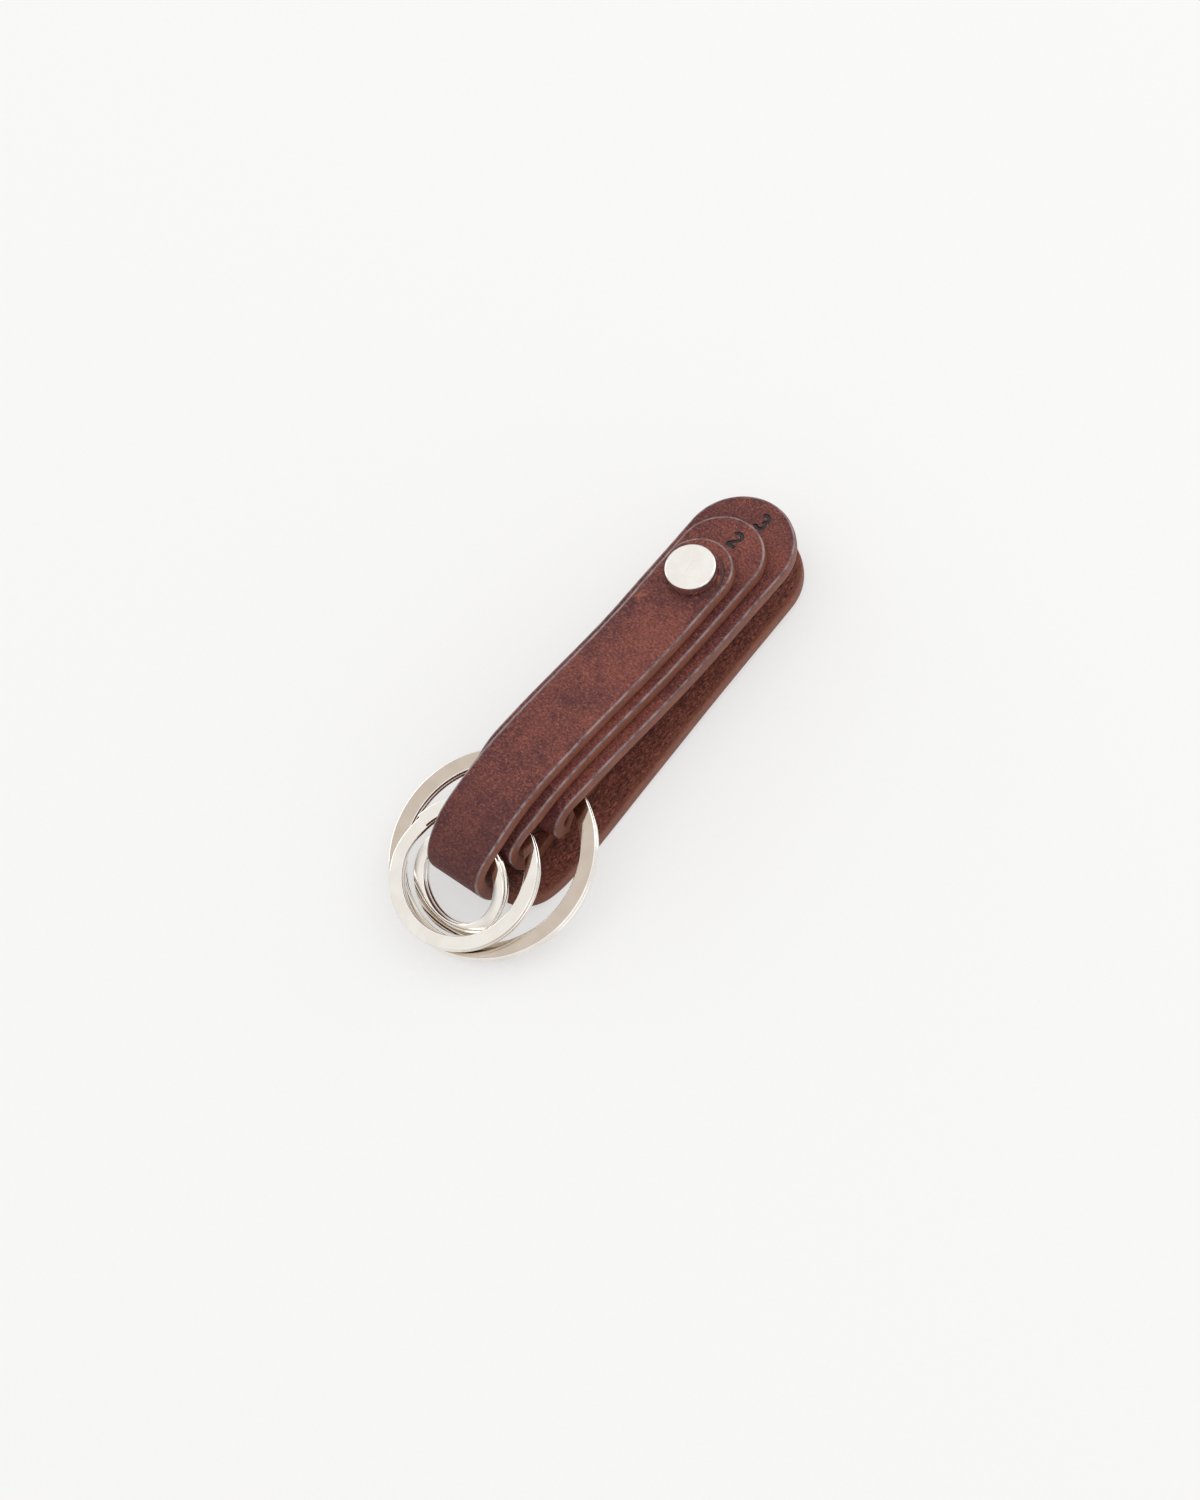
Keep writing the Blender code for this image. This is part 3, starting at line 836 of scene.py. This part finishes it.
def grain_leather():
    """Waxed reddish brown grain: fine pebbles, pores and pale pull-up marks."""
    shader = Shader("grain_leather")
    broad = shader.noise(13 * MM, detail=3.0)
    mottle = shader.noise(1.9 * MM, detail=5.0, roughness=0.7)
    speck = shader.noise(0.3 * MM, detail=3.0, roughness=0.75,
                         place=shader.stretched((1.0, 0.6, 1.0)))
    pebbles = shader.cell_walls(0.5 * MM)
    streak = shader.noise(8 * MM, detail=1.0, roughness=0.4, distortion=0.25)
    veins = shader.ramp(streak, (0.496, 0.0), (0.5, 1.0), (0.504, 0.0))
    patches = shader.ramp(shader.noise(5 * MM, detail=2.0), (0.44, 0.0), (0.56, 0.50))
    tone = shader.between(shader.ramp(broad, (0.38, 0.0), (0.60, 1.0)), GRAIN_TONES)
    for share, over in (
            (shader.ramp(mottle, (0.40, 0.0), (0.66, 0.45)), GRAIN_MOTTLE),
            (shader.ramp(pebbles, (0.0, 0.30), (0.12, 0.0)), GRAIN_GROOVE),
            (shader.ramp(speck, (0.34, 0.72), (0.50, 0.0)), GRAIN_DARK_SPECK),
            (shader.ramp(speck, (0.51, 0.0), (0.68, 0.58)), GRAIN_PALE_SPECK),
            (shader.calculate("MULTIPLY", veins, patches), GRAIN_SCRATCH),
            # painted shade towards the folds, with some darkening of the bent leather
            (fold_shade(shader), GRAIN_FOLD_SHADE_AND_BEND)):
        tone = shader.mix(share, tone, colour(over))
    shader.feed(shader.surface, "Base Color", tone)
    shader.feed(shader.surface, "Roughness", shader.ramp(mottle, (0.3, 0.44), (0.7, 0.60)))
    shader.set(Specular_IOR_Level=0.28)
    shader.bump((shader.ramp(pebbles, (0.0, 0.0), (0.2, 1.0)), 0.03 * MM), (mottle, 0.03 * MM),
                (speck, 0.06 * MM))
    return shader.material


def edge_leather():
    """The burnished wall of the leather: packed fibres polished to a tan brown."""
    shader = Shader("edge_leather")
    layers = shader.noise(0.22 * MM, detail=5.0, roughness=0.75,
                          place=shader.stretched((0.5, 0.5, 1.5)))
    broad = shader.noise(4 * MM, detail=3.0)
    tone = shader.between(shader.ramp(layers, (0.30, 0.0), (0.70, 1.0)), WALL_TONES)
    tone = shader.mix(shader.ramp(broad, (0.4, 0.18), (0.6, 0.0)), tone, colour(WALL_SHADE))
    shader.feed(shader.surface, "Base Color", tone)
    shader.feed(shader.surface, "Roughness", shader.ramp(layers, (0.3, 0.36), (0.7, 0.55)))
    shader.set(Specular_IOR_Level=0.25)
    shader.bump((layers, 0.05 * MM), (shader.noise(0.2 * MM, detail=3.0), 0.02 * MM))
    return shader.material


def rim_highlight_leather():
    """The waxed bevel along the edges; its pale grey is a painted highlight where the bevel
    catches the light.
    """
    shader = Shader("rim_highlight_leather")
    wear = shader.noise(1.8 * MM, detail=4.0, roughness=0.6)
    # painted highlight: the rim's pale grey tones
    tone = shader.between(shader.ramp(wear, (0.35, 0.0), (0.65, 1.0)), RIM_HIGHLIGHT_TONES)
    shader.feed(shader.surface, "Base Color", tone)
    shader.feed(shader.surface, "Roughness", shader.ramp(wear, (0.3, 0.24), (0.7, 0.38)))
    shader.set(Specular_IOR_Level=0.6, Coat_Weight=0.2, Coat_Roughness=0.25)
    shader.bump((shader.noise(0.45 * MM, detail=3.0), 0.01 * MM))
    return shader.material


def flesh_leather():
    """The rough inner side: short matted fibres with a soft bloom."""
    shader = Shader("flesh_leather")
    clumps = shader.noise(1.6 * MM, detail=5.0, roughness=0.65, distortion=0.6)
    fibres = shader.noise(0.38 * MM, detail=4.0, roughness=0.8,
                          place=shader.stretched((0.6, 1.3, 1.0)), distortion=0.8)
    tone = shader.between(shader.ramp(clumps, (0.35, 0.0), (0.65, 1.0)), FLESH_TONES)
    tone = shader.mix(shader.ramp(fibres, (0.51, 0.0), (0.63, 0.80)), tone,
                      colour(FLESH_PALE_FIBRE))
    tone = shader.mix(shader.ramp(fibres, (0.38, 0.90), (0.50, 0.0)), tone,
                      colour(FLESH_DARK_FIBRE))
    shader.feed(shader.surface, "Base Color", tone)
    shader.feed(shader.surface, "Roughness", shader.ramp(clumps, (0.3, 0.82), (0.7, 0.98)))
    shader.set(Sheen_Weight=0.2, Sheen_Roughness=0.5, Specular_IOR_Level=0.2)
    shader.bump((clumps, 0.12 * MM), (fibres, 0.12 * MM))
    return shader.material


def pressed_leather(name, tones):
    """Leather that was pressed hard and darkened, such as the floor of a numeral; in the crease,
    the dark tones are also painted shade in its groove.
    """
    shader = Shader(name)
    worn = shader.noise(0.3 * MM, detail=4.0, roughness=0.65)
    tone = shader.between(shader.ramp(worn, (0.42, 0.0), (0.7, 1.0)), tones)
    shader.feed(shader.surface, "Base Color", tone)
    shader.feed(shader.surface, "Roughness", shader.ramp(worn, (0.3, 0.38), (0.7, 0.6)))
    shader.bump((worn, 0.03 * MM))
    return shader.material


def metal(name, tones, roughness):
    """Polished nickel with faint cloudy handling marks and hairlines."""
    shader = Shader(name)
    cloud = shader.noise(3.5 * MM, detail=3.0, roughness=0.5)
    hair = shader.noise(0.35 * MM, detail=3.0, roughness=0.6,
                        place=shader.stretched((0.18, 1.5, 1.0)))
    tone = shader.between(shader.ramp(cloud, (0.35, 0.0), (0.65, 1.0)), tones)
    shader.feed(shader.surface, "Base Color", tone)
    shader.set(Metallic=1.0)
    smoothest, dullest = roughness
    marks = shader.mix(0.5, cloud, hair)
    shader.feed(shader.surface, "Roughness",
                shader.ramp(marks, (0.35, smoothest), (0.65, dullest)))
    shader.bump((hair, 0.0004 * MM))
    return shader.material


def paper():
    """The pale ground: matt paper with the faintest tooth, and a painted glow that lifts the
    shadows on it.
    """
    shader = Shader("ground_paper")
    tooth = shader.noise(0.6 * MM, detail=3.0)
    shader.feed(shader.surface, "Base Color", shader.between(tooth, PAPER_TONES))
    shader.set(Roughness=0.95, Specular_IOR_Level=0.1, Emission_Color=PAPER_PAINTED_GLOW,
               Emission_Strength=PAPER_PAINTED_GLOW_STRENGTH)
    return shader.material


# Camera, floor and light


def view_axes():
    """The camera's right, up and towards-camera directions."""
    level_right = Vector((math.cos(PLAN_ANGLE), -math.sin(PLAN_ANGLE), 0))
    back = Vector((-math.sin(PLAN_ANGLE), -math.cos(PLAN_ANGLE), 0)) * math.cos(ELEVATION)
    back.z = math.sin(ELEVATION)
    level_up = back.cross(level_right)
    right = level_right * math.cos(ROLL) - level_up * math.sin(ROLL)
    up = level_right * math.sin(ROLL) + level_up * math.cos(ROLL)
    return right, up, back


def build_camera():
    """The photograph's camera; its sensor spans the longer side of the frame."""
    right, up, back = view_axes()
    across = (FRAME_PIXELS[0] / 2 - ORIGIN_PIXEL[0]) / PIXELS_PER_METRE
    along = (ORIGIN_PIXEL[1] - FRAME_PIXELS[1] / 2) / PIXELS_PER_METRE
    target = right * across + up * along
    distance = FRAME_PIXELS[1] / PIXELS_PER_METRE * FOCAL_LENGTH / SENSOR
    data = bpy.data.cameras.new("photo_camera")
    data.lens = FOCAL_LENGTH
    data.sensor_width = SENSOR
    data.sensor_fit = "AUTO"
    camera = bpy.data.objects.new("photo_camera", data)
    turn = Matrix((right, up, back)).transposed().to_4x4()
    camera.matrix_world = Matrix.Translation(target + back * distance) @ turn
    bpy.context.scene.collection.objects.link(camera)
    bpy.context.scene.camera = camera


def build_floor():
    """The plain pale ground, a hair below the object's lowest point."""
    sheet = bmesh.new()
    bmesh.ops.create_grid(sheet, x_segments=FLOOR_CELLS, y_segments=FLOOR_CELLS,
                          size=FLOOR_SIZE / 2)
    ground = make_object("ground", sheet, [paper()])
    ground.location.z = -FLOOR_DROP


def soft_light(name, place, size, power):
    """A square soft light at a place, turned to the middle of the object."""
    data = bpy.data.lights.new(name, "AREA")
    data.shape = "SQUARE"
    data.size = size
    data.energy = power
    lamp = bpy.data.objects.new(name, data)
    lamp.location = place
    lamp.rotation_euler = (place - Vector(LIGHT_AIM)).to_track_quat("Z", "Y").to_euler()
    bpy.context.scene.collection.objects.link(lamp)


def build_light():
    """Three soft lights under a pale sky that darkens towards the horizon, for the metal."""
    right, up, back = view_axes()
    for name, (place, size, power) in LIGHTS.items():
        soft_light(name, right * place[0] + up * place[1] + back * place[2], size, power)
    world = bpy.data.worlds.new("studio")
    world.use_nodes = True
    tree = world.node_tree
    direction = tree.nodes.new("ShaderNodeTexCoord").outputs["Generated"]
    split = tree.nodes.new("ShaderNodeSeparateXYZ")
    tree.links.new(direction, split.inputs[0])
    sky = tree.nodes.new("ShaderNodeValToRGB")
    set_stops(sky.color_ramp, SKY_STOPS)
    tree.links.new(split.outputs["Z"], sky.inputs[0])
    tree.links.new(sky.outputs[0], tree.nodes["Background"].inputs["Color"])
    bpy.context.scene.world = world
    bpy.context.scene.view_settings.view_transform = "Standard"


# The holder


def build_body(leathers, surface):
    """The base and strap 1, one piece of leather round its fold, with its holes and the crease."""
    path = Path(1, BASE_TIP_REACH)
    body = build_leather("leather_body", path, body_width(path), leathers, BODY_SEED)
    cut(body, hole_cutter(POST_HOLE_RADIUS, -CUT_OVERRUN, LEATHER + 2 * CUT_OVERRUN,
                          leathers[WALL]))
    cut(body, hole_cutter(SHANK_HOLE_RADIUS, surface - LEATHER - SHANK_HOLE_OVERRUN,
                          surface + CUT_OVERRUN, leathers[WALL]))
    # painted shade: the crease's dark tone stands in for the shade in its groove, with some
    # darkening of the pressed leather
    crease = pressed_leather("pressed_crease_shade", CREASE_SHADE_TONES)
    cut(body, line_cutter(crease_points(surface), CREASE_STROKE, crease))
    smooth(body)
    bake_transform(body)
    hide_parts("leather_base", "strap_1")


def build_band(strap, leathers, surface, ink):
    """Strap 2 or 3, with its hole and its numeral."""
    path = Path(strap, TAIL_WIDTH / 2)
    band = build_leather(f"leather_strap_{strap}", path, looped_width(strap, path), leathers,
                         strap * STRAP_SEED_STEP)
    cut(band, hole_cutter(POST_HOLE_RADIUS, -CUT_OVERRUN, STACK_TOP_AT_FOLDS, leathers[WALL]))
    for stroke in STROKE_SHARES[strap]:
        points = numeral_points(strap, stroke, surface + NUMERAL_LIFT)
        cut(band, line_cutter(points, NUMERAL_STROKE, ink))
    smooth(band)
    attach(band, "holder")
    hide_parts(f"strap_{strap}")


def build_holder():
    """All the pieces, each standing in for its solids; all but the base and strap 1 ride on a
    body.
    """
    leathers = [grain_leather(), edge_leather(), flesh_leather(), rim_highlight_leather()]
    ink = pressed_leather("numeral_ink", INK_TONES)
    surface = {strap: BASE_MIDDLE + layer * LAYER_PITCH + HALF_LEATHER
               for strap, layer in UPPER_LAYER.items()}
    build_body(leathers, surface[1])
    for strap in (2, 3):
        build_band(strap, leathers, surface[strap], ink)

    bright = metal("polished_nickel", NICKEL_TONES, NICKEL_ROUGHNESS)
    cap = build_cap(bright)
    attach(cap, "cap")
    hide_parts("stud_cap")
    post = build_post(bright)
    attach(post, "holder")
    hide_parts("stud_post")

    cream = metal("cream_face", CREAM_TONES, CREAM_ROUGHNESS)
    taupe = metal("taupe_face", TAUPE_TONES, TAUPE_ROUGHNESS)
    for number, face in ((1, cream), (2, cream), (3, taupe)):
        ring = build_ring(number, face, bright)
        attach(ring, RING_BODY[number])
        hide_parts(f"ring_{number}")


build_holder()
build_floor()
build_light()
build_camera()
